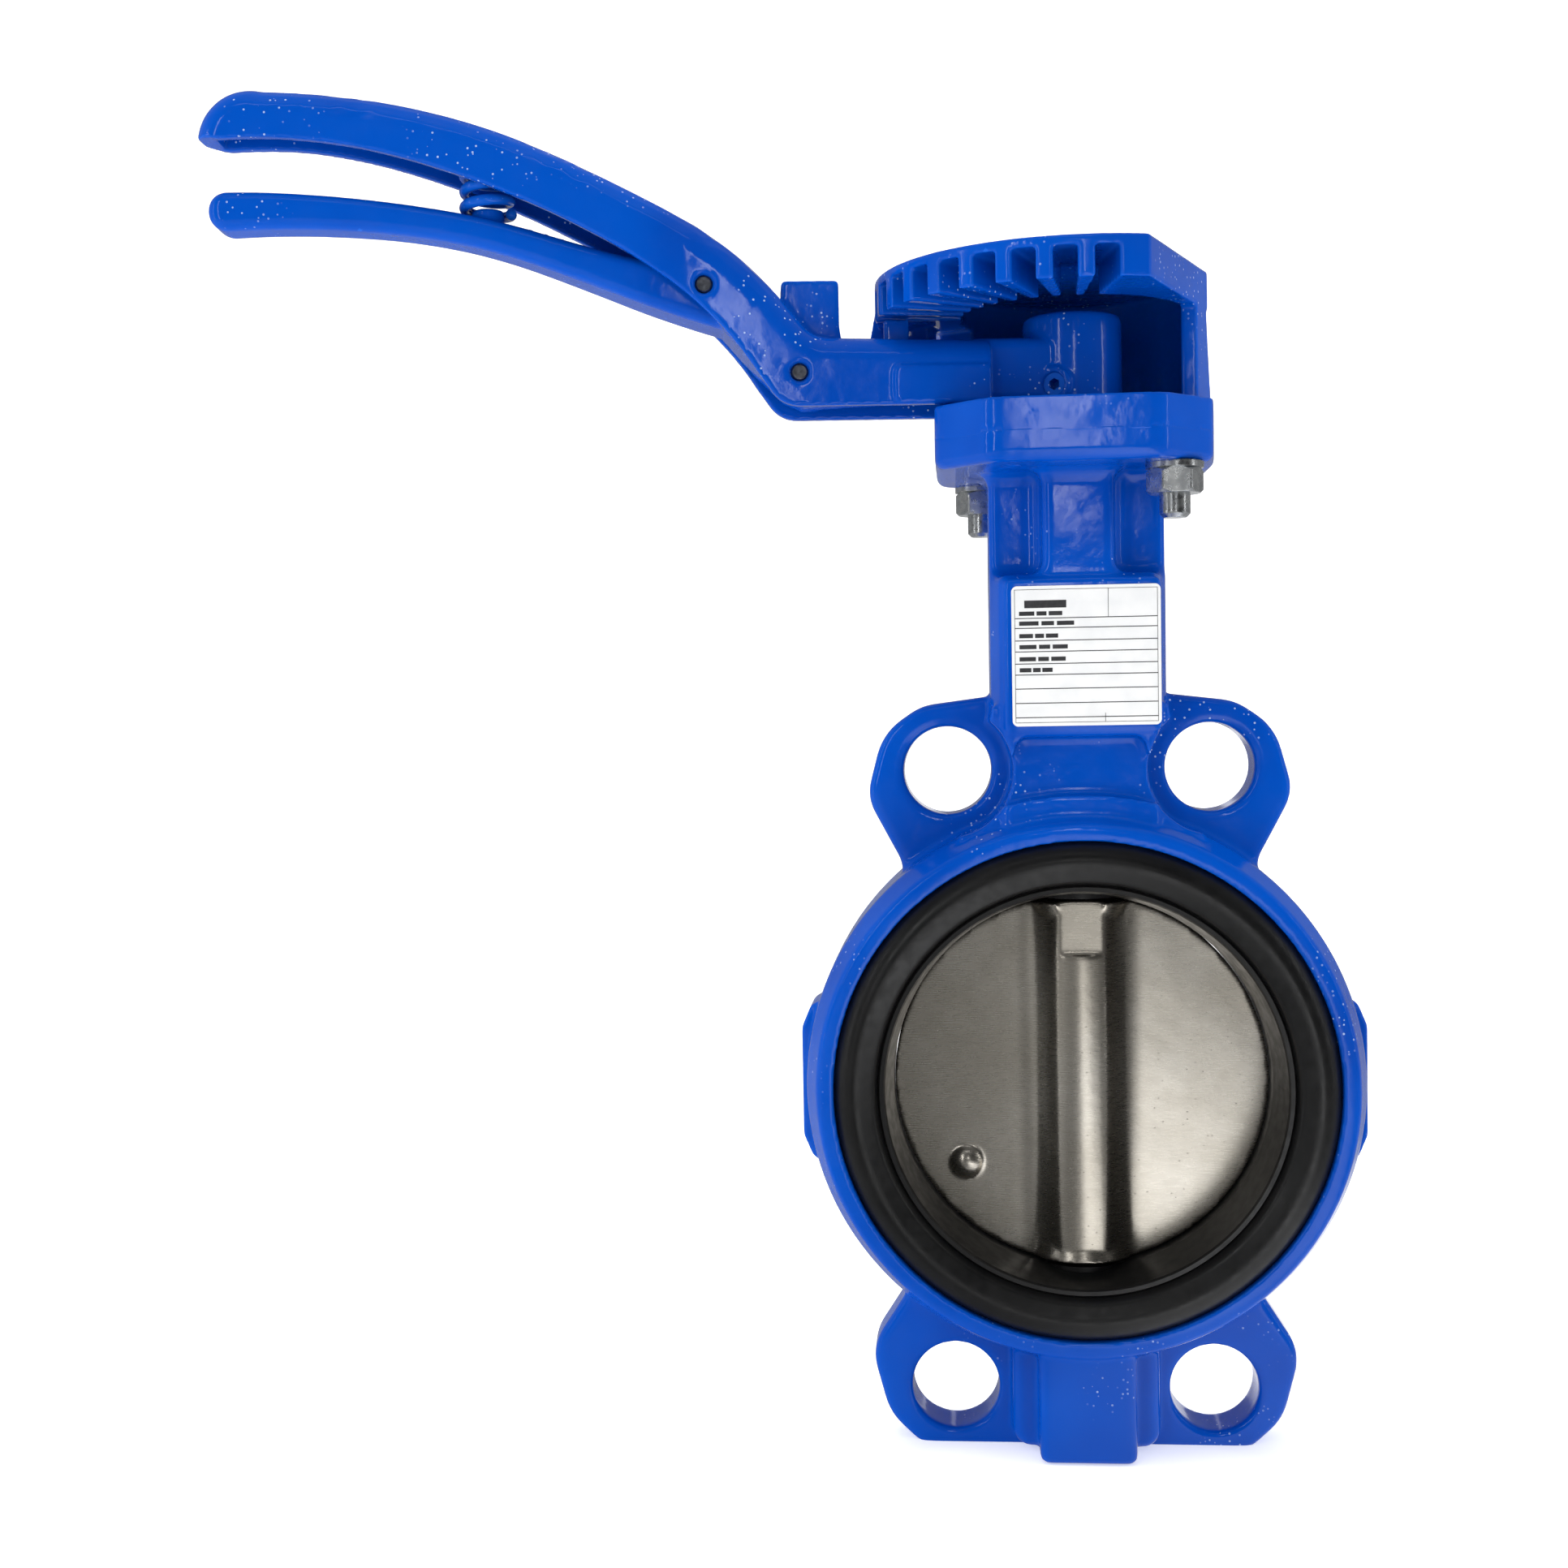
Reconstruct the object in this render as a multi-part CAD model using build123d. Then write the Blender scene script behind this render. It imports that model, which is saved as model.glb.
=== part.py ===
from build123d import *
from math import atan2, cos, degrees, radians, sin, sqrt
import os

# Lever-operated wafer butterfly valve, nominal bore 100 mm.
# Frame: origin at the centre of the disc, pipe axis along Y, stem along +Z.
# The open front of the notch plate faces -Y and the closed lever points towards -X.

# ---- driving dimensions, mm ----
FACE_HALF = 26.0            # cast body, half of the 52 mm face-to-face length
BOLT_CIRCLE = 185.0         # suits both common flange drillings for this bore
BOLT_ANGLE = 22.5           # lug holes stand this far from the vertical, degrees
LUG_HOLE_R = 12.0
LUG_HALF = 7.5              # half thickness of the lugs
HOLE_X = BOLT_CIRCLE / 2 * sin(radians(BOLT_ANGLE))
HOLE_Z = BOLT_CIRCLE / 2 * cos(radians(BOLT_ANGLE))
FLARE_ARC_R = 17.6          # hollow round each upper lug hole, for the bolt head
FLARE_HALF = 19.0

RING_FACE_R = 71.3          # outside of the ring at its faces
RING_MID_R = 74.9           # outside of the ring at the middle
RING_TAPER = 10.0           # axial length of the taper between them
LINER_RECESS_R = 67.0       # recess in each face that holds the liner's flange
LINER_RECESS_DEPTH = 5.0
BODY_BORE_R = 61.5
PAD_OUTER_X = 76.6          # small pads on both sides of the ring

SEAT_R = 51.3               # bore of the rubber liner
SEAT_LIP_R = 53.2
BEAD_CREST_Y = 27.9         # crest of the liner's face bead
HUB_FLAT_Z = 50.2           # flat ends of the disc's hub
HUB_FLAT_R = 13.0

DISC_R = 51.15
DISC_HUB_HALF = 13.2        # half thickness of the disc at the hub
DISC_RIM_HALF = 3.0

STEM_R = 8.0
STEM_CLEARANCE = 0.05
STEM_BORE_R = 10.0          # drilled through the neck and the bottom boss
STEM_SQUARE = 11.0
STEM_TOP_Z = 206.0

BOSS_BOTTOM_Z = -101.0
NECK_HALF_X = 23.5
NECK_FRONT_X = 20.5
NECK_HALF_Y = 21.0
FLANGE_LOW_Z = 165.5
FLANGE_TOP_Z = 174.0
FLANGE_LEFT = 37.5
FLANGE_RIGHT = 37.4
FLANGE_FRONT_RIGHT = 20.8
FLANGE_HALF_Y = 38.5
STUD_PITCH = 24.75          # offset of each stud from the stem, in X and in Y

BASE_TOP_Z = 182.0          # top of the notch plate's base
RIB_LOW_Z = 208.5
ROOF_TOP_Z = 219.0
ROOF_SKIN = 2.5
FAN_R = 53.5
CAVITY_R = 30.0
LEVER_ANGLE = 6.5           # closed lever, measured from -X towards -Y
OPEN_START = -27.0          # the walls leave the lever free between these angles
OPEN_END = 158.5
WALL_DRAFT = 3.6
CHORD_ANGLE = 108.0
CHORD_END = (36.2, -3.0)
NOTCHES = 9
NOTCH_PITCH = 90.0 / (NOTCHES - 1)
NOTCH_WIDTH_ANGLE = 6.6

LEVER_HALF = 15.5
LEVER_TIP_HALF = 8.0        # the grip narrows towards its end
NARROW_FROM = -105.0
NARROW_TO = -205.0
LEVER_LOW_Z = 183.4
LEVER_TOP_WALL = 3.2
LEVER_SIDE_WALL = 3.5
LEVER_HUB_R = 13.5
LEVER_HUB_TOP_Z = 208.0
PIVOT = (-99.9, 215.7)      # trigger pivot, X and Z before the lever is turned
STOP = (-75.0, 192.3)       # stop pin
PIN_R = 2.25
TRIGGER_HALF = 10.0
TRIGGER_GRIP_HALF = 7.0
TRIGGER_SWING = 5.0         # full squeeze, degrees
TOOTH_X = -48.0
TOOTH_TIP_Z = RIB_LOW_Z - 0.5
SWING = radians(TRIGGER_SWING)
STOP_ARM = (STOP[0] - PIVOT[0], STOP[1] - PIVOT[1])
STOP_SLOT_SHIFT = (
    STOP_ARM[0] * (cos(SWING) - 1) - STOP_ARM[1] * sin(SWING),
    STOP_ARM[0] * sin(SWING) + STOP_ARM[1] * (cos(SWING) - 1),
)
SPRING_X = -158.0
SPRING_COIL_R = 6.4
SPRING_WIRE_R = 1.5
SPRING_PITCH = 4.6
SPRING_LOW = 236.4
SPRING_HIGH = 252.0
GRUB_ANGLE = 60.0           # from the lever's own axis, on its open side
GRUB_Z = 188.6
LABEL_HALF_X = 19.5
LABEL_X = 1.6               # the nameplate sits a little right of the stem
LABEL_LOW_Z = 97.4
LABEL_HIGH_Z = 134.4


# ---- helpers ----
def outline(*corners):
    """Closed face from (x, y, corner radius) triples."""
    face = Polygon(*[(x, y) for x, y, _ in corners], align=None)
    for x, y, radius in corners:
        if radius:
            corner = face.vertices().sort_by_distance((x, y, 0))[0]
            face = fillet(corner, radius)
    return face


def mirrored(*corners):
    """Corners of one side, followed by the same corners across the Y axis."""
    return list(corners) + [(-x, y, radius) for x, y, radius in reversed(corners)]


def front_prism(face, half):
    """Extrudes a face drawn in X and Z to both sides of Y = 0."""
    return extrude(Plane.XZ * face, half, both=True)


def up(face, low, high):
    """Extrudes a face drawn in X and Y between two heights."""
    return extrude(Pos(0, 0, low) * face, high - low, dir=(0, 0, 1))


def rod(radius, low, high, x=0.0, y=0.0):
    """Vertical round bar."""
    return Pos(x, y, (low + high) / 2) * Cylinder(radius, high - low)


def tube(outer, inner, low, high, x=0.0, y=0.0):
    return rod(outer, low, high, x, y) - rod(inner, low - 1, high + 1, x, y)


def cross_rod(radius, half, x, z):
    """Round bar along Y, centred on Y = 0."""
    return Pos(x, 0, z) * Rot(90, 0, 0) * Cylinder(radius, 2 * half)


def try_round(solid, edges, radius):
    """Rounds the edges where the radius fits and leaves the rest sharp."""
    for size in (radius, radius * 0.7, radius * 0.45):
        try:
            rounded = fillet(edges, size)
            if rounded.is_valid and rounded.volume > 0:
                return rounded
        except (ValueError, RuntimeError):
            pass
    return solid


def circles(solid, radius, half_y=None):
    """Round edges of one radius, if asked only those lying at a distance from Y = 0."""
    found = []
    for edge in solid.edges().filter_by(GeomType.CIRCLE):
        level = half_y is None or abs(abs(edge.position_at(0.5).Y) - half_y) < 0.05
        if level and abs(edge.radius - radius) < 0.1:
            found.append(edge)
    return found


def at_studs(shape):
    """The two studs stand on one diagonal of the top flange."""
    return [
        Pos(STUD_PITCH, -STUD_PITCH, 0) * shape,
        Pos(-STUD_PITCH, STUD_PITCH, 0) * shape,
    ]


def turned(shape):
    """Turns a lever piece from the X axis to the closed lever's angle."""
    return Rot(0, 0, LEVER_ANGLE) * shape


def flange_outline():
    """Square with cut corners; the front right one runs further back along the side."""
    side, front = 24.0, FLANGE_HALF_Y
    return outline(
        (FLANGE_FRONT_RIGHT, -front, 7), (34.9, -side, 6), (FLANGE_RIGHT, -5, 6), (FLANGE_RIGHT, side, 7),
        (FLANGE_RIGHT - 14.5, front, 7), (14.5 - FLANGE_LEFT, front, 7), (-FLANGE_LEFT, side, 7),
        (-FLANGE_LEFT, -side, 7), (14.5 - FLANGE_LEFT, -front, 7),
    )


# ---- cast body ----
def body_ring():
    taper_y = FACE_HALF - RING_TAPER
    section = Polygon(
        (BODY_BORE_R - 4, -FACE_HALF), (RING_FACE_R, -FACE_HALF), (RING_MID_R, -taper_y),
        (RING_MID_R, taper_y), (RING_FACE_R, FACE_HALF), (BODY_BORE_R - 4, FACE_HALF),
        align=None,
    )
    ring = revolve(section, Axis.Y)
    ring = try_round(ring, circles(ring, RING_FACE_R), 1.2)
    return try_round(ring, circles(ring, RING_MID_R), 5.0)


def lug_plate():
    upper = outline(*mirrored(
        (20, 106, 0), (42.5, 103.2, 14), (53, 96, 17), (57.8, 78.3, 12), (48.6, 61, 6), (46, 48, 0),
    ))
    lower = outline(*mirrored(
        (20, -103.3, 0), (44, -103.6, 12), (54, -94, 16), (58.9, -75.5, 13), (49.5, -61, 6), (46, -48, 0),
    ))
    plates = []
    for face in (upper, lower):
        plate = front_prism(face, LUG_HALF)
        rims = [edge for edge in plate.edges() if abs(abs(edge.center().Y) - LUG_HALF) < 0.01]
        outer = [edge for edge in rims if abs(edge.center().X) > 21]
        plates.append(try_round(plate, outer, 2.2))
    return plates[0] + plates[1]


def side_pads():
    half = [(60, 22, 0), (73.6, 22, 3), (PAD_OUTER_X, 15, 5)]
    pad = outline(*half, *[(x, -z, radius) for x, z, radius in reversed(half)])
    pads = front_prism(pad, 9.0)
    return pads + mirror(pads, Plane.YZ)


def neck():
    """Square column, flared round the upper lug holes down to the ring."""
    section = outline(*mirrored(
        (NECK_FRONT_X, NECK_HALF_Y, 3), (NECK_HALF_X, 12, 4), (NECK_HALF_X, -12, 4),
        (NECK_FRONT_X, -NECK_HALF_Y, 3),
    ))
    column = up(section, 60, FLANGE_LOW_Z + 1)
    flare = front_prism(outline(*mirrored((23.0, 103.0, 0), (33.0, 66.0, 0))), FLARE_HALF)
    solid = column + flare
    for x in (-HOLE_X, HOLE_X):
        solid -= cross_rod(FLARE_ARC_R, 60, x, HOLE_Z)
    return try_round(solid, circles(solid, FLARE_ARC_R, FLARE_HALF), 1.7)


def nut_pockets():
    """Hollows in the four corners of the neck that make room for nuts and a spanner."""
    pockets = []
    for side in (-1, 1):
        for face in (-1, 1):
            pocket = Pos(side * 19.5, face * 20.0, 152.0) * Box(20.0, 16.0, 28.6)
            pocket = fillet(pocket.edges().filter_by(Axis.Z), 4.5)
            pocket = fillet(pocket.edges().group_by(Axis.Z)[0], 3.5)
            pockets.append(pocket)
    return pockets


def sunk_panels():
    """Shallow panel below the nameplate; its lower edge follows the ring."""
    panel = front_prism(outline(*mirrored((16.5, 94.5, 3), (22.0, 72.0, 0))), 3.0)
    panel -= cross_rod(RING_MID_R + 4.0, 20, 0, 0)
    return [Pos(0, face * (FLARE_HALF + 1.5), 0) * panel for face in (-1, 1)]


def bottom_boss():
    core = Pos(0, 0, (BOSS_BOTTOM_Z - 60) / 2) * Box(26.0, 48.0, -60 - BOSS_BOTTOM_Z)
    core = fillet(core.edges().filter_by(Axis.Z), 2.5)
    core = fillet(core.edges().group_by(Axis.Z)[0], 2.0)
    steps = front_prism(outline(*mirrored((20, -60, 0), (20, -100, 5))), 15.0)
    steps = fillet(steps.edges().filter_by(Axis.Z), 3.0)
    return core + steps


def top_flange():
    flange = up(flange_outline(), FLANGE_LOW_Z, FLANGE_TOP_Z)
    return try_round(flange, flange.edges().group_by(Axis.Z)[0], 2.6)


def joint_edges(solid, low, high, reach_x, reach_y):
    """Edges whose middle lies in a band of heights and near the stem."""
    chosen = []
    for edge in solid.edges():
        middle = edge.position_at(0.5)
        if low <= middle.Z <= high and abs(middle.X) <= reach_x and abs(middle.Y) <= reach_y:
            chosen.append(edge)
    return chosen


def make_body():
    casting = body_ring() + lug_plate()
    at_ring = [
        edge for edge in casting.edges()
        if abs(abs(edge.position_at(0.5).Y) - LUG_HALF) < 0.05
        and abs(Vector(edge.position_at(0.5).X, 0, edge.position_at(0.5).Z).length - RING_MID_R) < 0.3
    ]
    casting = try_round(casting, at_ring, 2.5)
    casting += neck()
    casting += side_pads()
    casting += bottom_boss()
    for cut in sunk_panels():
        casting -= cut
    upper = top_flange() + rod(NECK_FRONT_X - 8, FLANGE_LOW_Z - 3, FLANGE_TOP_Z)
    casting += upper
    for cut in nut_pockets():
        casting -= cut & rod(60, 100, FLANGE_LOW_Z)
    column = [
        edge for edge in joint_edges(casting, 140, FLANGE_LOW_Z, 9.6, 21.5)
        if abs(edge.position_at(0.5).Y) > 20.5 and edge.length > 20
    ]
    casting = try_round(casting, column, 2.2)
    under = joint_edges(casting, FLANGE_LOW_Z - 0.05, FLANGE_LOW_Z + 0.05, 24.5, 21.5)
    casting = try_round(casting, under, 4.0)
    label_pad = Pos(0.7, -NECK_HALF_Y + 1.9, 116) * Box(41.2, 6.2, 41)
    casting += fillet(label_pad.edges().filter_by(Axis.Y), 2.0)
    casting -= Rot(90, 0, 0) * Cylinder(BODY_BORE_R, 3 * FACE_HALF)
    for face in (-1, 1):
        recess = Rot(90, 0, 0) * Cylinder(LINER_RECESS_R, 2 * LINER_RECESS_DEPTH)
        casting -= Pos(0, face * FACE_HALF, 0) * recess
    for x in (-HOLE_X, HOLE_X):
        for z in (-HOLE_Z, HOLE_Z):
            casting -= cross_rod(LUG_HOLE_R, 60, x, z)
    casting = try_round(casting, circles(casting, LUG_HOLE_R, LUG_HALF), 1.5)
    casting -= rod(STEM_BORE_R, 50, FLANGE_TOP_Z + 1)
    casting -= rod(STEM_BORE_R, BOSS_BOTTOM_Z - 1, -50)
    casting -= rod(14.0, FLANGE_TOP_Z - 6, FLANGE_TOP_Z + 1)
    for hole in at_studs(rod(4.5, FLANGE_LOW_Z - 1, FLANGE_TOP_Z + 1)):
        casting -= hole
    return casting - rod(2.0, FLANGE_LOW_Z - 1, FLANGE_LOW_Z + 5, -17.5, -27.0)


# ---- liner, disc and stems ----
def make_seat_liner():
    """Rubber sleeve with a convex bead on each face and flats for the ends of the disc's hub."""
    outside = Polyline((61.4, 0), (61.4, -21.05), (66.9, -21.05), (66.9, -23.8))
    bead = Spline(
        (66.9, -23.8), (65.0, -26.5), (61.3, -BEAD_CREST_Y), (57.6, -26.7), (55.2, -23.9),
        tangents=((-0.35, -1), (-0.35, 1)),
    )
    lip = Polyline(
        (55.2, -23.9), (54.7, -24.5), (53.6, -24.5), (SEAT_LIP_R, -23.7), (SEAT_R, -9), (SEAT_R, 0),
        (61.4, 0),
    )
    face = make_face([*outside.edges(), bead, *lip.edges()])
    quarter = revolve(face, Axis.Y)
    liner = quarter + mirror(quarter, Plane.XZ)
    for sign in (-1, 1):
        liner += Pos(0, 0, sign * (HUB_FLAT_Z + 0.15 + 3)) * Cylinder(HUB_FLAT_R, 6)
        liner -= Pos(0, 0, sign * 56) * Cylinder(STEM_R + STEM_CLEARANCE, 20)
    return liner


def make_disc():
    """Disc cut from a ball, with a vertical hub across both faces."""
    rim = DISC_R + 1
    edge = Polyline((16.5, -5.4), (rim, -DISC_RIM_HALF), (rim, 0), (0, 0), (0, -DISC_HUB_HALF))
    ridge = Spline(
        (0, -DISC_HUB_HALF), (3.4, -DISC_HUB_HALF + 0.35), (6.2, -11.9), (8.6, -9.5), (11.6, -6.9),
        (16.5, -5.4), tangents=((1, 0), (1, 0.1)),
    )
    quarter = make_face([*edge.edges(), ridge])
    half = quarter + mirror(quarter, Plane.YZ)
    full = half + mirror(half, Plane.XZ)
    web = extrude(full, DISC_R, both=True)
    web += rod(12.0, -HUB_FLAT_Z, HUB_FLAT_Z)
    for end in (0, 180):
        web += Rot(end, 0, 0) * Pos(0, 0, HUB_FLAT_Z - 5.5) * Cone(10.5, 15.2, 13)
    disc = web & Sphere(DISC_R)
    disc = disc & Box(200, 200, 2 * HUB_FLAT_Z)
    disc -= Pos(0, -DISC_HUB_HALF - 1.9, 43) * Box(12.8, 6, 16.2)
    disc -= Pos(0, -DISC_HUB_HALF - 3.2, 43) * Box(40, 6, 30)
    disc += Pos(-31.4, -1.2, -23.4) * Sphere(5.6)
    disc -= rod(STEM_R + 0.01, 40, 60)
    square = STEM_SQUARE + 0.02
    disc -= Pos(0, 0, 28) * Box(square, square, 26)
    disc -= rod(STEM_R + 0.01, -60, -24)
    return disc


def make_upper_stem():
    stem = rod(STEM_R, 40.1, STEM_TOP_Z)
    key = Pos(0, 0, 28) * Box(STEM_SQUARE, STEM_SQUARE, 25)
    square_low = BASE_TOP_Z - 0.5
    top_square = turned(Pos(0, 0, square_low + 20) * Box(STEM_SQUARE, STEM_SQUARE, 40))
    stem = stem & (rod(STEM_R, 0, square_low) + top_square)
    stem = stem + key
    groove = tube(STEM_R + 1, STEM_R - 0.7, 169.9, 171.3)
    return chamfer((stem - groove).edges().sort_by(Axis.Z)[-4:], 0.8)


def make_lower_stem():
    stem = rod(STEM_R, -91.0, -24.5)
    ends = stem.edges().filter_by(GeomType.CIRCLE)
    return chamfer(ends, 0.8)


def make_bush(low, high):
    return tube(STEM_BORE_R - 0.01, STEM_R + STEM_CLEARANCE, low, high)


def make_dust_seal():
    return tube(STEM_R + 1.98, STEM_R + STEM_CLEARANCE, FLANGE_TOP_Z + 0.1, BASE_TOP_Z - 1.2)


def make_o_rings():
    return [
        Pos(0, 0, z) * Torus((STEM_BORE_R + STEM_R) / 2, 0.93)
        for z in (146.0, 150.0)
    ]


def make_circlip():
    ring = tube(11.2, STEM_R - 0.65, 169.95, 171.25)
    for side in (-1, 1):
        ring += Pos(side * 3.4, -11.2, 170.6) * Cylinder(1.9, 1.3)
    ring -= Pos(0, -11.0, 170.6) * Box(3.2, 9.0, 3)
    for side in (-1, 1):
        ring -= Pos(side * 3.5, -11.3, 170.6) * Cylinder(0.8, 3)
    return ring


def make_bottom_plug():
    low = BOSS_BOTTOM_Z + 0.4
    plug = rod(STEM_BORE_R - 0.02, low, -93.6)
    plug -= up(RegularPolygon(5.0, 6), low - 1, low + 4)
    return plug


# ---- notch plate and its fasteners ----
def on_rim(angle, radius=FAN_R):
    """Point at an angle measured from -X towards -Y."""
    return (-radius * cos(radians(angle)), -radius * sin(radians(angle)))


def roof_outline():
    """Toothed arc on the left and front, straight chord on the front right."""
    start, middle, end = on_rim(-16), on_rim(46), on_rim(CHORD_ANGLE)
    arc = ThreePointArc(start, middle, end)
    rest = Polyline(end, CHORD_END, (35.4, 24), (23, 36), (-30, 36), (-45, 28), start)
    return make_face([arc, *rest.edges()])


def notch_wedge(angle):
    half = NOTCH_WIDTH_ANGLE / 2
    inner, outer = CAVITY_R - 2, FAN_R + 4
    return Polygon(
        on_rim(angle - half, inner), on_rim(angle + half, inner),
        on_rim(angle + half, outer), on_rim(angle - half, outer), align=None,
    )


def beyond_chord():
    """Everything outside the straight face that cuts off the front right corner."""
    x0, y0 = on_rim(CHORD_ANGLE)
    x1, y1 = CHORD_END
    reach = 1.25
    far = (x0 + reach * (x1 - x0), y0 + reach * (y1 - y0))
    return Polygon((x0, y0), (x0, y0 - 30), (90, y0 - 30), (90, far[1]), far, align=None)


def bracket_walls():
    """Side and back wall around the lever hub, drawn in towards the roof."""
    height = ROOF_TOP_Z - BASE_TOP_Z
    base_face = Pos(0, 0, BASE_TOP_Z) * flange_outline()
    walls = extrude(base_face, height, dir=(0, 0, 1), taper=WALL_DRAFT)
    reach = 90
    opening = Polygon(
        (0, 0), on_rim(OPEN_END, reach), on_rim(120, reach), on_rim(60, reach), on_rim(0, reach),
        on_rim(OPEN_START, reach), align=None,
    )
    walls -= up(opening, BASE_TOP_Z - 1, ROOF_TOP_Z + 1)
    return walls - up(beyond_chord(), BASE_TOP_Z - 1, ROOF_TOP_Z + 1)


def closed_stop():
    """Flared block under the closed end of the roof."""
    inner, outer = CAVITY_R + 9, FAN_R
    low, high = RIB_LOW_Z - 4, ROOF_TOP_Z - 1
    section = Polygon((-outer, high), (-outer - 3, low), (-inner, low), (-inner, high), align=None)
    block = front_prism(section, 4.5)
    return Rot(0, 0, -14) * block


def make_notch_bracket():
    bracket = up(flange_outline(), FLANGE_TOP_Z, BASE_TOP_Z)
    bracket += bracket_walls()
    bracket += up(roof_outline(), RIB_LOW_Z, ROOF_TOP_Z)
    bracket += closed_stop()
    bracket -= rod(CAVITY_R, BASE_TOP_Z, ROOF_TOP_Z - ROOF_SKIN)
    for index in range(NOTCHES):
        wedge = notch_wedge(LEVER_ANGLE + index * NOTCH_PITCH)
        bracket -= up(wedge, RIB_LOW_Z - 6, ROOF_TOP_Z - ROOF_SKIN)
    bracket -= rod(STEM_R + 2, FLANGE_TOP_Z - 1, BASE_TOP_Z + 1)
    for hole in at_studs(rod(4.0, FLANGE_TOP_Z - 1, BASE_TOP_Z - 0.6)):
        bracket -= hole
    return round_bracket(bracket)


def round_bracket(bracket):
    roof = [edge for edge in bracket.edges() if edge.position_at(0.5).Z > ROOF_TOP_Z - 0.05]
    bracket = try_round(bracket, roof, 1.0)
    tips, rims, wall_end = [], [], []
    for edge in bracket.edges():
        middle = edge.position_at(0.5)
        out = Vector(middle.X, middle.Y, 0).length
        in_fan = middle.Y < 8 and (middle.Y < -4 or middle.X < -40)
        on_ribs = RIB_LOW_Z + 2 < middle.Z < ROOF_TOP_Z - ROOF_SKIN - 2
        if in_fan and abs(middle.Z - RIB_LOW_Z) < 0.05 and out > CAVITY_R + 1:
            tips.append(edge)
        if in_fan and on_ribs and abs(out - FAN_R) < 0.2:
            rims.append(edge)
        upright = edge.length > 20 and BASE_TOP_Z < middle.Z < RIB_LOW_Z
        if upright and middle.Y < 0 and out < CAVITY_R + 1:
            wall_end.append(edge)
    bracket = try_round(bracket, rims, 0.8)
    bracket = try_round(bracket, tips, 0.7)
    return try_round(bracket, wall_end, 1.2)


def make_studs():
    stud = chamfer(rod(3.98, 151.2, BASE_TOP_Z - 1).edges().filter_by(GeomType.CIRCLE), 1.0)
    return at_studs(stud)


def make_washers():
    return at_studs(tube(7.5, 4.2, FLANGE_LOW_Z - 1.6, FLANGE_LOW_Z))


def make_nuts():
    high = FLANGE_LOW_Z - 1.6
    low = high - 6.5
    nut = up(RegularPolygon(6.5, 6, major_radius=False), low, high)
    cone = Pos(0, 0, (low + high) / 2) * Cylinder(7.35, high - low)
    cone = chamfer(cone.edges().filter_by(GeomType.CIRCLE), 0.8)
    nut = (nut & cone) - rod(4.0, low - 1, high + 1)
    return at_studs(nut)


# ---- lever and trigger, drawn along -X ----
def lever_side():
    """Side view of the lever channel."""
    low = Spline(
        (-227.9, 257.1), (-199.3, 255.8), (-165.2, 246.5), (-131.0, 231.1), (-101.5, 210.9), (-86, 192.4),
    )
    tip = ThreePointArc((-234.8, 258.1), (-230.9, 266.6), (-217.0, 270.7))
    top = Spline(
        (-217.0, 270.7), (-194.2, 268.8), (-150.6, 257.1), (-118.3, 241.5), (-92.6, 225.6), (-80.4, 213.6),
    )
    bottom = Polyline((-86, 192.4), (-79.6, LEVER_LOW_Z), (-24, LEVER_LOW_Z))
    roof = Polyline((-24, 201.0), (-71.0, 202.2), (-80.4, 213.6))
    face = make_face([
        low, Line((-227.9, 257.1), (-234.8, 258.1)), tip, top,
        *bottom.edges(), Line((-24, LEVER_LOW_Z), (-24, 201.0)), *roof.edges(),
    ])
    for x, z, radius in ((-71.0, 202.2, 9), (-79.6, LEVER_LOW_Z, 9)):
        corner = face.vertices().sort_by_distance((x, z, 0))[0]
        face = fillet(corner, radius)
    return face


def lever_cavity():
    """Side view of the space inside the channel, open downwards."""
    wall = LEVER_TOP_WALL
    end = ThreePointArc((-229.6, 256.0), (-226.6, 263.4), (-217.0, 270.7 - wall))
    top = Spline(
        (-217.0, 270.7 - wall), (-194.7, 265.7), (-152.1, 254.2), (-120.0, 238.8), (-94.4, 222.9),
        (-82.9, 211.6),
    )
    rest = Polyline(
        (-82.9, 211.6), (-73.2, 199.0), (-29, 198.2), (-29, 170), (-60, 170), (-229.6, 235), (-229.6, 256.0),
    )
    face = make_face([end, top, *rest.edges()])
    corner = face.vertices().sort_by_distance((-73.2, 199.0, 0))[0]
    return fillet(corner, 11)


def lever_plan(inset):
    """Top view of the lever: parallel arm, then a grip that narrows to its end."""
    wide, narrow = LEVER_HALF - inset, LEVER_TIP_HALF - inset
    half = [(20, wide), (NARROW_FROM, wide), (NARROW_TO, narrow), (-240, narrow)]
    return Polygon(*half, *[(x, -y) for x, y in reversed(half)], align=None)


def half_width(x):
    """Half the width of the lever at a distance along it."""
    share = min(1, max(0, (NARROW_FROM - x) / (NARROW_FROM - NARROW_TO)))
    return LEVER_HALF - share * (LEVER_HALF - LEVER_TIP_HALF)


def top_edges(shell):
    """Outer edges along the top of the lever, on both sides."""
    chosen = []
    for edge in shell.edges():
        middle = edge.position_at(0.5)
        along_side = abs(abs(middle.Y) - half_width(middle.X)) < 0.9 and edge.length > 4
        upright = edge.geom_type == GeomType.LINE and abs((edge % 0.5).Z) > 0.95
        on_top = middle.Z > min(262, 200.5 + 0.65 * max(0, -72 - middle.X))
        if along_side and on_top and not upright:
            chosen.append(edge)
    return chosen


def lever_pins_holes():
    cuts = []
    for x, z in (PIVOT, STOP):
        cuts.append(cross_rod(PIN_R + 0.03, 40, x, z))
        for side in (-1, 1):
            cuts.append(Pos(0, side * LEVER_HALF, 0) * cross_rod(2.75, 1.2, x, z))
    return cuts


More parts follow.
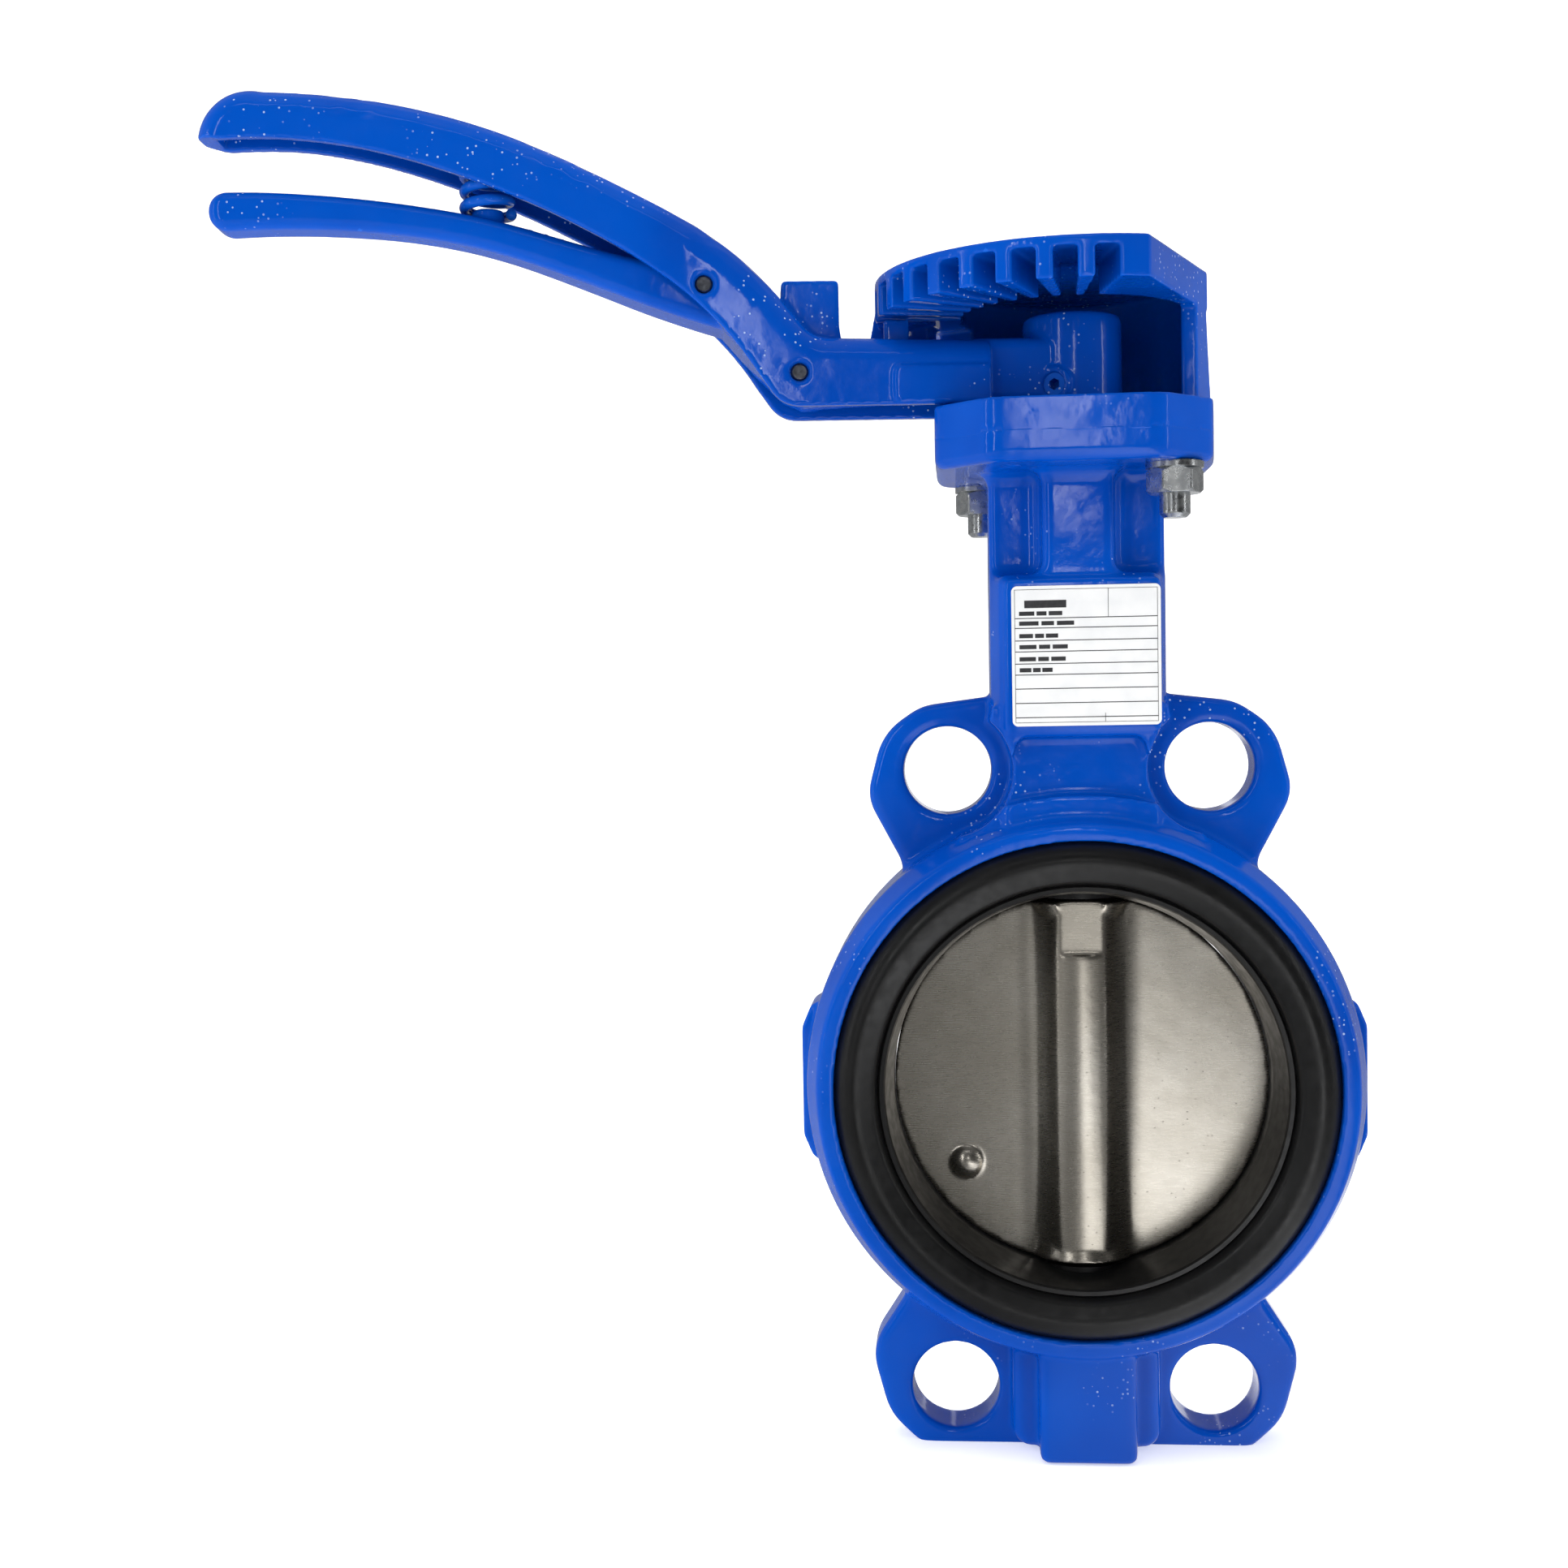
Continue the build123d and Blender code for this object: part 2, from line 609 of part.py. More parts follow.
def make_lever_handle():
    side = lever_side()
    shell = front_prism(side, LEVER_HALF) & up(lever_plan(0), 150, 300)
    shell = try_round(shell, top_edges(shell), 7.0)
    hub = rod(LEVER_HUB_R, BASE_TOP_Z + 0.4, LEVER_HUB_TOP_Z)
    hub = fillet(hub.edges().sort_by(Axis.Z)[-1], 1.6)
    root = Pos(-16, 0, 192.8) * Box(24, 23, 17.4)
    root = try_round(root, root.edges().filter_by(Axis.X), 3.0)
    lug = Pos(-71.5, 0, 203.8) * Box(15.6, 10.0, 29.0)
    lug = fillet(lug.edges().filter_by(Axis.Y).group_by(Axis.Z)[-1], 1.2)
    foot = Polygon((-64.5, 199), (-59.5, 200.9), (-63.2, 202.4), (-63.8, 207), (-66, 207), align=None)
    lug_foot = front_prism(foot, 5.0)
    handle = shell + lug + lug_foot
    handle -= front_prism(lever_cavity(), LEVER_HALF) & up(lever_plan(LEVER_SIDE_WALL), 100, 300)
    handle += root + hub
    hub_joint = [
        edge for edge in handle.edges()
        if abs(Vector(edge.position_at(0.5).X, edge.position_at(0.5).Y, 0).length - LEVER_HUB_R) < 0.3
        and LEVER_LOW_Z + 2 < edge.position_at(0.5).Z < 203 and edge.position_at(0.5).X < 0
    ]
    handle = try_round(handle, hub_joint, 2.5)
    for face in (-1, 1):
        pad = Pos(-37.0, face * (LEVER_HALF + 0.1), 188.7) * Box(25.6, 1.2, 9.6)
        handle += fillet(pad.edges().filter_by(Axis.Y), 1.6)
    handle += grub_axis(8.0, 6.5, 4.6)
    handle -= grub_axis(0.0, 20.0, 3.02)
    handle -= Pos(0, 0, 195) * Box(STEM_SQUARE + 0.04, STEM_SQUARE + 0.04, 40)
    handle -= Pos(-48.6, 0, 200) * Box(12.4, 6.4, 14)
    for cut in lever_pins_holes():
        handle -= cut
    handle += Pos(SPRING_X, 0, 255.2) * Cylinder(4.4, 6.0)
    return turned(handle)


def grub_axis(start, length, radius):
    """Round bar along the grub screw's axis, before the lever is turned."""
    angle = GRUB_ANGLE
    centre = start + length / 2
    x, y = on_rim(angle, centre)
    return Pos(x, y, GRUB_Z) * Rot(0, 0, angle) * Rot(0, 90, 0) * Cylinder(radius, length)


def make_grub_screw():
    screw = grub_axis(8.2, 5.6, 3.0)
    x, y = on_rim(GRUB_ANGLE, 13.2)
    socket = extrude(RegularPolygon(1.6, 6), 3, both=True)
    screw -= Pos(x, y, GRUB_Z) * Rot(0, 0, GRUB_ANGLE) * Rot(0, 90, 0) * socket
    return turned(screw)


def trigger_top():
    """Upper line of the trigger's grip, from its end to the pivot."""
    return Spline((-226.7, 243.7), (-195.9, 242.0), (-153.1, 234.5), (-114.7, 223.7), (-102, 222.3))


def trigger_side():
    """Side view of the trigger: grip, pivot eye, inner arm and latch tooth."""
    top = trigger_top()
    under = Spline((-95.3, 205.1), (-119.3, 213.3), (-158.8, 227.6), (-196.1, 233.2), (-226.9, 233.4))
    nose = ThreePointArc((-226.9, 233.4), (-232.0, 238.6), (-226.7, 243.7))
    inner = Polyline(
        (-102, 222.3), (-93, 216.6), (-82.6, 206.0), (-76.5, 200.6), (-70, 196.7),
        (TOOTH_X - 3.4, 196.2), (TOOTH_X - 3.4, TOOTH_TIP_Z), (TOOTH_X + 3.4, TOOTH_TIP_Z),
        (TOOTH_X + 3.4, 186.4), (-73.5, 185.0), (-79, 187.4), (-86, 194.4), (-95.3, 205.1),
    )
    return make_face([top, *inner.edges(), under, nose])


def make_trigger():
    side = trigger_side()
    grip_zone = Pos(-170, 0, 230) * Box(150, 60, 80)
    wide, narrow = TRIGGER_HALF, TRIGGER_GRIP_HALF
    plan = outline(
        (-60, wide, 0), (-60, -wide, 0), (-115, -wide, 0), (-175, -narrow, 0), (-232.2, -narrow, 4),
        (-232.2, narrow, 4), (-175, narrow, 0), (-115, wide, 0),
    )
    grip = front_prism(side, wide) & up(plan, 150, 300)
    grip = grip & (grip_zone + Pos(-83, 0, 206) * Box(28, 60, 50))
    long_edges = [
        edge for edge in grip.edges()
        if abs(edge.position_at(0.5).Y) > narrow - 0.5
        and edge.position_at(0.5).X < -100 and edge.length > 5
    ]
    grip = try_round(grip, long_edges, 2.9)
    nubs = [trigger_top() @ (0.64 + 0.035 * index) for index in range(7)]
    for nub in nubs:
        grip += Pos(nub.X, -4.6, nub.Y - 0.9) * Sphere(1.3)
    bend_zone = Pos(-67, 0, 196) * Box(22, 14, 60)
    arm_zone = Pos(-50, 0, 176.2) * Box(24, 14, 40)
    tooth_zone = Pos(TOOTH_X, 0, 200) * Box(12, 4.2, 60)
    arm = front_prism(side, 7.0) & (bend_zone + arm_zone + tooth_zone)
    trigger = grip + arm
    trigger -= cross_rod(PIN_R + 0.07, 40, *PIVOT)
    slot_x, slot_z = STOP_SLOT_SHIFT
    slot = [cross_rod(PIN_R + 0.12, 40, STOP[0] + t * slot_x, STOP[1] + t * slot_z) for t in (0, 1)]
    length = sqrt(slot_x ** 2 + slot_z ** 2)
    between = Pos(STOP[0] + slot_x / 2, 0, STOP[1] + slot_z / 2)
    tilt = Rot(0, -degrees(atan2(slot_z, slot_x)), 0)
    slot.append(between * tilt * Box(length, 80, 2 * (PIN_R + 0.12)))
    for cut in slot:
        trigger -= cut
    seat = Pos(SPRING_X, 0, 236.2) * Cylinder(4.4, 5.2)
    return turned(trigger + seat)


def make_cross_pin(x, z):
    pin = cross_rod(PIN_R, LEVER_HALF - 0.8, x, z)
    return turned(chamfer(pin.edges().filter_by(GeomType.CIRCLE), 0.4))


def make_return_spring():
    path = Helix(SPRING_PITCH, SPRING_HIGH - SPRING_LOW - 2 * SPRING_WIRE_R, SPRING_COIL_R)
    section = Plane(origin=path @ 0, z_dir=path % 0) * Circle(SPRING_WIRE_R)
    coil = sweep(section, path=path)
    return turned(Pos(SPRING_X, 0, SPRING_LOW + SPRING_WIRE_R) * coil)


def make_rating_plate():
    half = 0.15
    front = -NECK_HALF_Y - 1.2 - half
    plate = outline(*mirrored((LABEL_HALF_X, LABEL_HIGH_Z, 1.5), (LABEL_HALF_X, LABEL_LOW_Z, 1.5)))
    return Pos(LABEL_X, front, 0) * front_prism(plate, half)


NODES = {
    "body": make_body,
    "seat_liner": make_seat_liner,
    "disc": make_disc,
    "upper_stem": make_upper_stem,
    "lower_stem": make_lower_stem,
    "neck_bush_lower": lambda: make_bush(66, 90),
    "neck_bush_upper": lambda: make_bush(155, 167.5),
    "lower_stem_bush": lambda: make_bush(-90, -64),
    "stem_o_rings": make_o_rings,
    "stem_dust_seal": make_dust_seal,
    "thrust_washer": lambda: tube(12.8, STEM_R + 0.1, 168.05, 169.7),
    "stem_circlip": make_circlip,
    "bottom_plug": make_bottom_plug,
    "plug_gasket": lambda: tube(STEM_BORE_R - 0.03, 7.0, -93.55, -92.3),
    "notch_bracket": make_notch_bracket,
    "bracket_studs": make_studs,
    "bracket_washers": make_washers,
    "bracket_nuts": make_nuts,
    "lever_handle": make_lever_handle,
    "lever_grub_screw": make_grub_screw,
    "trigger_lever": make_trigger,
    "trigger_pivot_pin": lambda: make_cross_pin(*PIVOT),
    "trigger_stop_pin": lambda: make_cross_pin(*STOP),
    "return_spring": make_return_spring,
    "rating_plate": make_rating_plate,
}

os.makedirs("parts", exist_ok=True)
for node, maker in NODES.items():
    shape = maker()
    if isinstance(shape, list):
        shape = Compound(children=shape)
    export_step(shape, f"parts/{node}.step")
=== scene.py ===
import math

import bmesh
import bpy
from mathutils import Matrix, Vector


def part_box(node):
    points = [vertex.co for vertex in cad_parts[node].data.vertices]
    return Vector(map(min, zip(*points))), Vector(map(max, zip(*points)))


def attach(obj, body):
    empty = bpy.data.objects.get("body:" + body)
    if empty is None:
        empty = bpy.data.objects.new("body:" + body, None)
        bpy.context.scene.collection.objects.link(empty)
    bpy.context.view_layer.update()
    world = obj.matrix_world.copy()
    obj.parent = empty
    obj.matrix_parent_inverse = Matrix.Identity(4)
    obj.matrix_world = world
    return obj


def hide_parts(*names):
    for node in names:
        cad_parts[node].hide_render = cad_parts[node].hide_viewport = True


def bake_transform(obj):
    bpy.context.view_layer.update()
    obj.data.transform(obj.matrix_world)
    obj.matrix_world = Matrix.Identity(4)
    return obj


# Looks for the lever-operated butterfly valve. Units are metres, in the part's own frame.
# Texture scales are in cells per metre, and colours are linear.

# ---- castings ----
BODY_VOXEL = 0.0007
FINE_VOXEL = 0.0005
WELD_GAP = 0.000001
SMOOTH_FACTOR = 0.5
PAINT_RIPPLE = 0.00012            # full height of the slow waves under the paint
STEEL_RIPPLE = 0.00006
RIPPLE_SIZE = 0.014
SEAM_Z = 0.174                    # where the bracket sits on the body's flange
SEAM_STILL = 0.001                # nothing is smoothed this close to the seam
SEAM_FADE = 0.004                 # smoothing comes back over this distance
SEAM_SINK = 0.0011                # how far the bracket's foot goes into the flange
FOOT_HEIGHT = 0.0004              # the foot is what lies lower than this over the seam

# ---- return spring ----
COIL_RADIUS = 0.0063
COIL_WAIST = 0.0002               # how much less the radius is halfway up
COIL_TURNS = 3.2
COIL_CLOSING = 0.35               # share of the rise that is slow near both ends
WIRE_RADIUS = 0.0015
WIRE_SIDES = 12
RINGS_PER_TURN = 28

# ---- label ----
LABEL_FRONT_Y = -0.02251
INK_HALF_DEPTH = 0.00004
LABEL_SIDE_MARGIN = 0.0008
LABEL_END_MARGIN = 0.0009
RULE = 0.00011                    # width of a thin line, and half that of a line between rows
ROW_DROPS = (0.0076, 0.0102, 0.0135, 0.0164, 0.0196, 0.0225, 0.0262, 0.0300, 0.0338)
TOP_COLUMN_X = 0.0245
FOOT_COLUMN_X = 0.0235
FOOT_COLUMN_HEIGHT = 0.0024
WORD_LENGTHS = (0.0118, 0.0150, 0.0106, 0.0132, 0.0126, 0.0090)
WORD_PARTS = (0.34, 0.22, 0.30)
WORD_GAP = 0.05                   # share of the word's length
WORD_START = 0.0012
WORD_LIFT = 0.0007
WORD_HEIGHT = 0.0011
TITLE_X = (0.0026, 0.0136)
TITLE_DROP = (0.0049, 0.0029)

# ---- floor, lights and camera ----
FLOOR_Z = -0.1012
FLOOR_NEAR_Y = -2.5
FLOOR_FAR_Y = 1.4
FLOOR_HALF_WIDTH = 4.0
SWEEP_RADIUS = 1.0
SWEEP_STEPS = 12
BACKDROP_HEIGHT = 4.0
PAPER_GLOW = 0.45
STRIP_GLOW = 0.75                 # of the bright strip that shows only in gloss
FILL_SEEN = (0.60, 0.80)          # world strength in front of the valve and behind it
FILL_MIRRORED = (0.03, 0.30)      # the same, as glossy surfaces see it
FILL_FADE = (-0.7, 0.5)           # between these directions' Y the front turns into the back
FILL_COLOUR = (0.98, 0.99, 1.0, 1)
BODY_MIDDLE = (0, 0, 0.08)
CAMERA_POINT = (-0.03197, -0.54573, 0.10709)
CAMERA_YAW = 5.14                 # degrees, turned towards -X
CAMERA_PITCH = -2.62
CAMERA_ROLL = 1.04
CAMERA_LENS = 45.04               # mm
CAMERA_SENSOR = 36                # mm

# ---- colours ----
EPOXY_BLUE = (0.0, 0.072, 0.46, 1)
EPOXY_DEEP = (0.0, 0.054, 0.38, 1)
# painted sheen: the lighter blue that sharp edges of the paint are mixed towards
EPOXY_EDGE_SHEEN = (0.01, 0.13, 0.62, 1)
# painted glint: the pale blue mixed onto the raised nibs in the paint
NIB_GLINT_BLUE = (0.55, 0.70, 0.95, 1)
RUBBER_BLACK = (0.0030, 0.0030, 0.0034, 1)
RUBBER_BLOOM = (0.0065, 0.0064, 0.0064, 1)
STEEL_WARM = (0.55, 0.51, 0.44, 1)
STEEL_PALE = (0.68, 0.64, 0.57, 1)
STEEL_PIT = (0.22, 0.19, 0.16, 1)
FOIL_WHITE = (0.86, 0.86, 0.85, 1)
FOIL_GREY = (0.78, 0.79, 0.79, 1)
INK_BLACK = (0.015, 0.015, 0.017, 1)
INK_WORN = (0.05, 0.05, 0.055, 1)
PAPER_WHITE = (0.93, 0.93, 0.935, 1)
PAPER_GREY = (0.90, 0.90, 0.905, 1)
GLOW_WHITE = (1, 1, 1, 1)

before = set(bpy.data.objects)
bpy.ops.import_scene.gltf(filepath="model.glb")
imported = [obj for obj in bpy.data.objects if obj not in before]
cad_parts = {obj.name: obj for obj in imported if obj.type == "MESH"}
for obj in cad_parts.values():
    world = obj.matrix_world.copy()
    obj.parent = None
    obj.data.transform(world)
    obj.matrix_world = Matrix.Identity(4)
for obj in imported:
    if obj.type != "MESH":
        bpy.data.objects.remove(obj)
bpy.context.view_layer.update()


# ---- node helpers ----
class Graph:
    """Builds one material's node tree."""

    def __init__(self, name):
        self.material = bpy.data.materials.new(name)
        self.material.use_nodes = True
        self.tree = self.material.node_tree
        self.shader = self.tree.nodes["Principled BSDF"]
        self.coordinates = self.tree.nodes.new("ShaderNodeTexCoord").outputs["Object"]

    def join(self, socket, value):
        """Links another node's output to a socket, or writes a plain value into it."""
        if isinstance(value, bpy.types.NodeSocket):
            self.tree.links.new(value, socket)
        else:
            socket.default_value = value

    def put(self, node, name, value):
        self.join(node.inputs[name], value)

    def set(self, **values):
        """Sets the shader's inputs, with _ for the spaces in their names."""
        for name, value in values.items():
            self.put(self.shader, name.replace("_", " "), value)

    def stretched(self, scale):
        node = self.tree.nodes.new("ShaderNodeMapping")
        self.put(node, "Vector", self.coordinates)
        self.put(node, "Scale", scale)
        return node.outputs["Vector"]

    def noise(self, scale, detail, roughness=0.5, vector=None):
        node = self.tree.nodes.new("ShaderNodeTexNoise")
        self.put(node, "Vector", vector or self.coordinates)
        self.put(node, "Scale", scale)
        self.put(node, "Detail", detail)
        self.put(node, "Roughness", roughness)
        return node.outputs["Fac"]

    def cells(self, scale):
        """Distance from the middle of each cell, and a chance value that is constant in a cell."""
        node = self.tree.nodes.new("ShaderNodeTexVoronoi")
        self.put(node, "Vector", self.coordinates)
        self.put(node, "Scale", scale)
        split = self.tree.nodes.new("ShaderNodeSeparateColor")
        self.put(split, "Color", node.outputs["Color"])
        return node.outputs["Distance"], split.outputs["Red"]

    def ramp(self, value, low, high, low_value=0.0, high_value=1.0):
        node = self.tree.nodes.new("ShaderNodeMapRange")
        node.interpolation_type = "SMOOTHSTEP"
        self.put(node, "Value", value)
        self.put(node, "From Min", low)
        self.put(node, "From Max", high)
        self.put(node, "To Min", low_value)
        self.put(node, "To Max", high_value)
        return node.outputs["Result"]

    def math(self, operation, a, b):
        node = self.tree.nodes.new("ShaderNodeMath")
        node.operation = operation
        for socket, value in zip(node.inputs, (a, b)):
            self.join(socket, value)
        return node.outputs[0]

    def mix(self, factor, a, b):
        node = self.tree.nodes.new("ShaderNodeMix")
        node.data_type = "RGBA"
        colours = [socket for socket in node.inputs if socket.type == "RGBA"]
        for socket, value in zip([node.inputs[0]] + colours, (factor, a, b)):
            self.join(socket, value)
        return [socket for socket in node.outputs if socket.type == "RGBA"][0]

    def bump(self, height, distance, strength, normal=None):
        node = self.tree.nodes.new("ShaderNodeBump")
        self.put(node, "Height", height)
        self.put(node, "Distance", distance)
        self.put(node, "Strength", strength)
        if normal:
            self.put(node, "Normal", normal)
        return node.outputs["Normal"]

    def soft_edges(self, radius):
        node = self.tree.nodes.new("ShaderNodeBevel")
        node.samples = 6
        self.put(node, "Radius", radius)
        return node.outputs["Normal"]

    def pointiness(self):
        return self.tree.nodes.new("ShaderNodeNewGeometry").outputs["Pointiness"]


def epoxy(name):
    """Thick gloss paint over a sand casting: orange peel, clusters of raised pinhead nibs with a
    painted glint on them, and a painted sheen of lighter blue on sharp edges.
    """
    pinhead_scale = 760
    cluster_scale = 26
    bare_share = 0.62             # of the pinheads, even inside a cluster
    g = Graph(name)
    drift = g.ramp(g.noise(22, 2), 0.35, 0.7)
    colour = g.mix(drift, EPOXY_BLUE, EPOXY_DEEP)
    # Painted sheen: sharp convex edges turn a lighter blue, as light catching them would make them.
    edge_sheen = g.ramp(g.pointiness(), 0.52, 0.60)
    colour = g.mix(g.math("MULTIPLY", edge_sheen, 0.6), colour, EPOXY_EDGE_SHEEN)
    distance, chance = g.cells(pinhead_scale)
    patch = g.ramp(g.noise(cluster_scale, 4), 0.53, 0.62)
    edge_patch = g.math("MULTIPLY", edge_sheen, g.ramp(g.noise(60, 3), 0.50, 0.60))
    patch = g.math("MAXIMUM", patch, edge_patch)
    dot = g.ramp(distance, 0.17, 0.27, 1.0, 0.0)
    chosen = g.ramp(chance, bare_share, bare_share + 0.02)
    # The nibs are real raised bumps in the paint; the pale blue mixed onto them is a painted glint.
    nib_and_glint = g.math("MULTIPLY", g.math("MULTIPLY", dot, chosen), patch)
    colour = g.mix(g.math("MULTIPLY", nib_and_glint, 0.62), colour, NIB_GLINT_BLUE)
    rough = g.ramp(g.noise(160, 3), 0.3, 0.7, 0.09, 0.16)
    normal = g.bump(g.noise(430, 2), 0.00006, 0.6)
    normal = g.bump(g.noise(120, 2), 0.00025, 0.6, normal)
    normal = g.bump(nib_and_glint, 0.00012, 0.8, normal)
    g.set(Base_Color=colour, Roughness=rough, Normal=normal, Specular_IOR_Level=0.22)
    g.set(Coat_Weight=0.18, Coat_Roughness=0.05)
    return g.material


def rubber(name):
    """Moulded EPDM with a fine bloom on it."""
    g = Graph(name)
    bloom = g.ramp(g.noise(60, 4), 0.4, 0.75)
    colour = g.mix(bloom, RUBBER_BLACK, RUBBER_BLOOM)
    rough = g.ramp(g.noise(300, 3), 0.3, 0.7, 0.30, 0.42)
    normal = g.bump(g.noise(1400, 2), 0.00002, 0.5)
    g.set(Base_Color=colour, Roughness=rough, Normal=normal, Specular_IOR_Level=0.5)
    return g.material


def cast_stainless(name):
    """Satin cast and tumbled stainless steel with a warm tint, faint pits and level polishing lines."""
    g = Graph(name)
    tone = g.ramp(g.noise(30, 4, 0.6), 0.35, 0.7)
    colour = g.mix(tone, STEEL_WARM, STEEL_PALE)
    distance, chance = g.cells(900)
    pit = g.math("MULTIPLY", g.ramp(distance, 0.10, 0.2, 1.0, 0.0), g.ramp(chance, 0.86, 0.9))
    colour = g.mix(g.math("MULTIPLY", pit, 0.35), colour, STEEL_PIT)
    lines = g.noise(220, 3, 0.6, g.stretched((1.0, 1.0, 14.0)))
    rough = g.ramp(lines, 0.25, 0.75, 0.26, 0.30)
    normal = g.bump(g.noise(1100, 3), 0.00002, 0.5)
    normal = g.bump(g.noise(70, 3), 0.00010, 0.45, normal)
    normal = g.bump(pit, -0.00005, 0.6, normal)
    g.set(Base_Color=colour, Roughness=rough, Normal=normal, Metallic=1.0)
    return g.material


def metal(name, light, dark, rough_low, rough_high, bevel=0.0003):
    """Machined or plated metal with uneven sheen and softened edges."""
    grain_scale = 300
    g = Graph(name)
    tone = g.ramp(g.noise(grain_scale, 4, 0.6), 0.3, 0.7)
    colour = g.mix(tone, (*dark, 1), (*light, 1))
    rough = g.ramp(g.noise(grain_scale * 2.3, 3), 0.3, 0.7, rough_low, rough_high)
    normal = g.bump(g.noise(grain_scale * 5, 2), 0.000004, 0.5, g.soft_edges(bevel))
    g.set(Base_Color=colour, Roughness=rough, Normal=normal, Metallic=1.0)
    return g.material


def film(name):
    """White foil, a little uneven under its gloss."""
    g = Graph(name)
    shade = g.ramp(g.noise(140, 3), 0.3, 0.8)
    colour = g.mix(shade, FOIL_WHITE, FOIL_GREY)
    rough = g.ramp(g.noise(400, 2), 0.3, 0.7, 0.28, 0.4)
    g.set(Base_Color=colour, Roughness=rough, Normal=g.bump(g.noise(90, 2), 0.00005, 0.4))
    return g.material


def ink(name):
    """Black print, slightly worn."""
    g = Graph(name)
    colour = g.mix(g.noise(900, 2), INK_BLACK, INK_WORN)
    rough = g.ramp(g.noise(700, 2), 0.3, 0.7, 0.4, 0.6)
    g.set(Base_Color=colour, Roughness=rough, Normal=g.bump(g.noise(1500, 2), 0.00001, 0.3))
    return g.material


# ---- geometry helpers ----
def show(obj):
    bpy.context.scene.collection.objects.link(obj)


def shade_smooth(mesh):
    mesh.polygons.foreach_set("use_smooth", [True] * len(mesh.polygons))


def mesh_from(bm, name):
    mesh = bpy.data.meshes.new(name)
    bm.to_mesh(mesh)
    bm.free()
    return mesh


def link(name, mesh, material, body=None):
    """Puts a new piece in the scene."""
    piece = bpy.data.objects.new(name, mesh)
    show(piece)
    mesh.materials.clear()
    mesh.materials.append(material)
    if body:
        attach(piece, body)
    return piece


def applied(mould):
    """The mould's mesh with its modifiers applied. The mould itself goes."""
    graph = bpy.context.evaluated_depsgraph_get()
    mesh = bpy.data.meshes.new_from_object(mould.evaluated_get(graph))
    bpy.data.objects.remove(mould)
    return mesh


def remeshed(node, voxel):
    """A CAD node's shape as one even skin of small quads."""
    mould = bpy.data.objects.new(node + "_mould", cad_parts[node].data.copy())
    show(mould)
    weld = mould.modifiers.new("weld", "WELD")
    weld.merge_threshold = WELD_GAP
    remesh = mould.modifiers.new("remesh", "REMESH")
    remesh.mode = "VOXEL"
    remesh.voxel_size = voxel
    return applied(mould)


def cast_copy(node, material, body, voxel, passes, ripple, at_seam=False, sunk=0.0):
    """Copy of a CAD node with its edges rounded off, as sand casting and thick paint leave them."""
    skin = bpy.data.objects.new(node + "_skin", remeshed(node, voxel))
    show(skin)
    smooth = skin.modifiers.new("smooth", "SMOOTH")
    smooth.factor = SMOOTH_FACTOR
    smooth.iterations = passes
    if at_seam:
        free = skin.vertex_groups.new(name="free")
        for vertex in skin.data.vertices:
            gap = abs(vertex.co.z - SEAM_Z)
            weight = min(1.0, max(0.0, (gap - SEAM_STILL) / SEAM_FADE))
            free.add([vertex.index], weight, "REPLACE")
        smooth.vertex_group = "free"
    texture = bpy.data.textures.new(node + "_ripple", "CLOUDS")
    texture.noise_scale = RIPPLE_SIZE
    wave = skin.modifiers.new("ripple", "DISPLACE")
    wave.texture = texture
    wave.texture_coords = "GLOBAL"
    wave.strength = ripple
    wave.mid_level = 0.5
    mesh = applied(skin)
    if sunk:
        for vertex in mesh.vertices:
            if vertex.co.z < SEAM_Z + FOOT_HEIGHT:
                vertex.co.z -= sunk
    shade_smooth(mesh)
    mesh.name = node + "_cast"
    piece = link(node + "_cast", mesh, material, body)
    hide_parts(node)


def coil(name, centre, low, high, material):
    """Round wire wound round a vertical axis, narrower towards the middle, with closed ends."""
    steps = int(COIL_TURNS * RINGS_PER_TURN)
    bm = bmesh.new()
    rings = []
    for i in range(steps + 1):
        share = i / steps
        eased = share * share * (3 - 2 * share)
        climb = eased * COIL_CLOSING + share * (1 - COIL_CLOSING)
        angle = share * COIL_TURNS * 2 * math.pi
        z = low + WIRE_RADIUS + (high - low - 2 * WIRE_RADIUS) * climb
        out = Vector((math.cos(angle), math.sin(angle), 0))
        radius = COIL_RADIUS - COIL_WAIST * math.sin(math.pi * share)
        middle = Vector((centre[0], centre[1], z)) + out * radius
        ring = []
        for k in range(WIRE_SIDES):
            turn = 2 * math.pi * k / WIRE_SIDES
            up = Vector((0, 0, WIRE_RADIUS * math.sin(turn)))
            ring.append(bm.verts.new(middle + out * (WIRE_RADIUS * math.cos(turn)) + up))
        rings.append(ring)
    for first, second in zip(rings, rings[1:]):
        for k in range(WIRE_SIDES):
            n = (k + 1) % WIRE_SIDES
            bm.faces.new((first[k], first[n], second[n], second[k]))
    bm.faces.new(list(reversed(rings[0])))
    bm.faces.new(rings[-1])
    bmesh.ops.recalc_face_normals(bm, faces=bm.faces)
    mesh = mesh_from(bm, name)
    shade_smooth(mesh)
    return link(name, mesh, material, None)


def printed_bars(name, bars, material, body):
    """Thin raised bars of ink on the front of the label; each bar is (x0, z0, x1, z1)."""
    bm = bmesh.new()
    for x0, z0, x1, z1 in bars:
        corners = []
        for y in (LABEL_FRONT_Y - INK_HALF_DEPTH, LABEL_FRONT_Y + INK_HALF_DEPTH):
            for x, z in ((x0, z0), (x1, z0), (x1, z1), (x0, z1)):
                corners.append(bm.verts.new((x, y, z)))
        bm.faces.new(corners[:4])
        bm.faces.new(corners[7:3:-1])
        for k in range(4):
            n = (k + 1) % 4
            bm.faces.new((corners[k], corners[k + 4], corners[n + 4], corners[n]))
    bmesh.ops.recalc_face_normals(bm, faces=bm.faces)
    link(name, mesh_from(bm, name), material, body)


